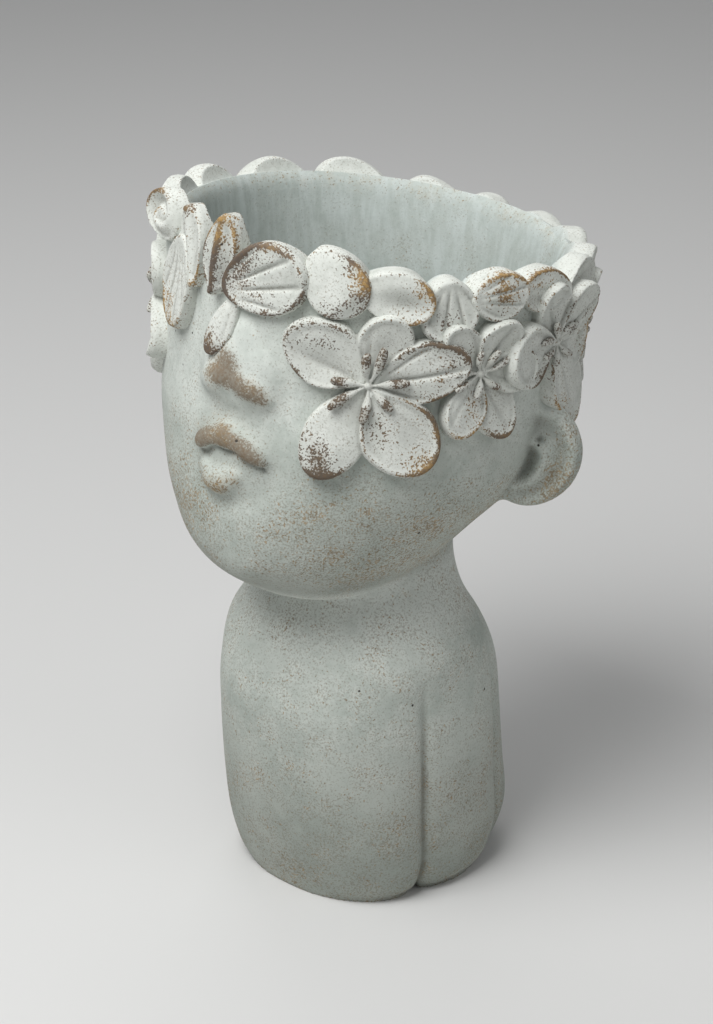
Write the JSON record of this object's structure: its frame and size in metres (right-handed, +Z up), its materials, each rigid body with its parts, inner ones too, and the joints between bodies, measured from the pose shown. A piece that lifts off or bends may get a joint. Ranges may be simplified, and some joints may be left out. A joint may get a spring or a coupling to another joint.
{
  "type": "head planter",
  "caption": "Bust-shaped plant pot: a child's head tipped back on a bare bust, hollow and open at the crown, with a flower wreath over the eyes and a scalloped rim.",
  "frame": {"origin": "middle of the bust's base, on the surface that it stands on", "axes": "+Z up, the face looks along -Y, the figure's left ear is at +X"},
  "size_m": [0.182, 0.1809, 0.2971],
  "materials": {
    "body_cement": "matte",
    "petal_cement": "matte",
    "leaf_cement": "matte",
    "stamen_cement": "matte",
    "plug_rubber": "matte"
  },
  "bodies": {
    "planter": {"back_flower": "petal_cement", "back_flower_stamens": "stamen_cement", "back_left_rim_leaf": "leaf_cement", "back_right_rim_leaf": "leaf_cement", "back_rim_leaf": "leaf_cement", "bust": "body_cement", "folded_petal": "leaf_cement", "forehead_bud": "leaf_cement", "front_rim_leaf": "leaf_cement", "head_pot": "body_cement", "left_back_rim_leaf": "leaf_cement", "left_brow_rim_leaf": "leaf_cement", "left_ear": "body_cement", "left_ear_flower": "petal_cement", "left_ear_flower_stamens": "stamen_cement", "left_ear_rim_leaf": "leaf_cement", "left_eye_flower": "petal_cement", "left_eye_flower_stamens": "stamen_cement", "left_eye_rim_leaf": "leaf_cement", "left_nape_flower": "petal_cement", "left_nape_flower_stamens": "stamen_cement", "left_nape_rim_leaf": "leaf_cement", "left_side_rim_leaf": "leaf_cement", "left_temple_flower": "petal_cement", "left_temple_flower_stamens": "stamen_cement", "left_temple_rim_leaf": "leaf_cement", "right_back_rim_leaf": "leaf_cement", "right_brow_rim_leaf": "leaf_cement", "right_ear": "body_cement", "right_ear_flower": "petal_cement", "right_ear_flower_stamens": "stamen_cement", "right_ear_rim_leaf": "leaf_cement", "right_eye_flower": "petal_cement", "right_eye_flower_stamens": "stamen_cement", "right_nape_flower": "petal_cement", "right_nape_flower_stamens": "stamen_cement", "right_nape_rim_leaf": "leaf_cement", "right_side_rim_leaf": "leaf_cement", "right_temple_flower": "petal_cement", "right_temple_flower_stamens": "stamen_cement", "right_temple_rim_leaf": "leaf_cement", "rim_rosette": "leaf_cement", "streaked_brow_leaf": "leaf_cement"},
    "drain_plug": {"drain_plug": "plug_rubber"}
  },
  "joints": [
    {"name": "drain_plug_lift", "type": "slide", "parent": "planter", "child": "drain_plug", "axis": [0, 0, 1], "range_m": [0, 0.04]}
  ]
}
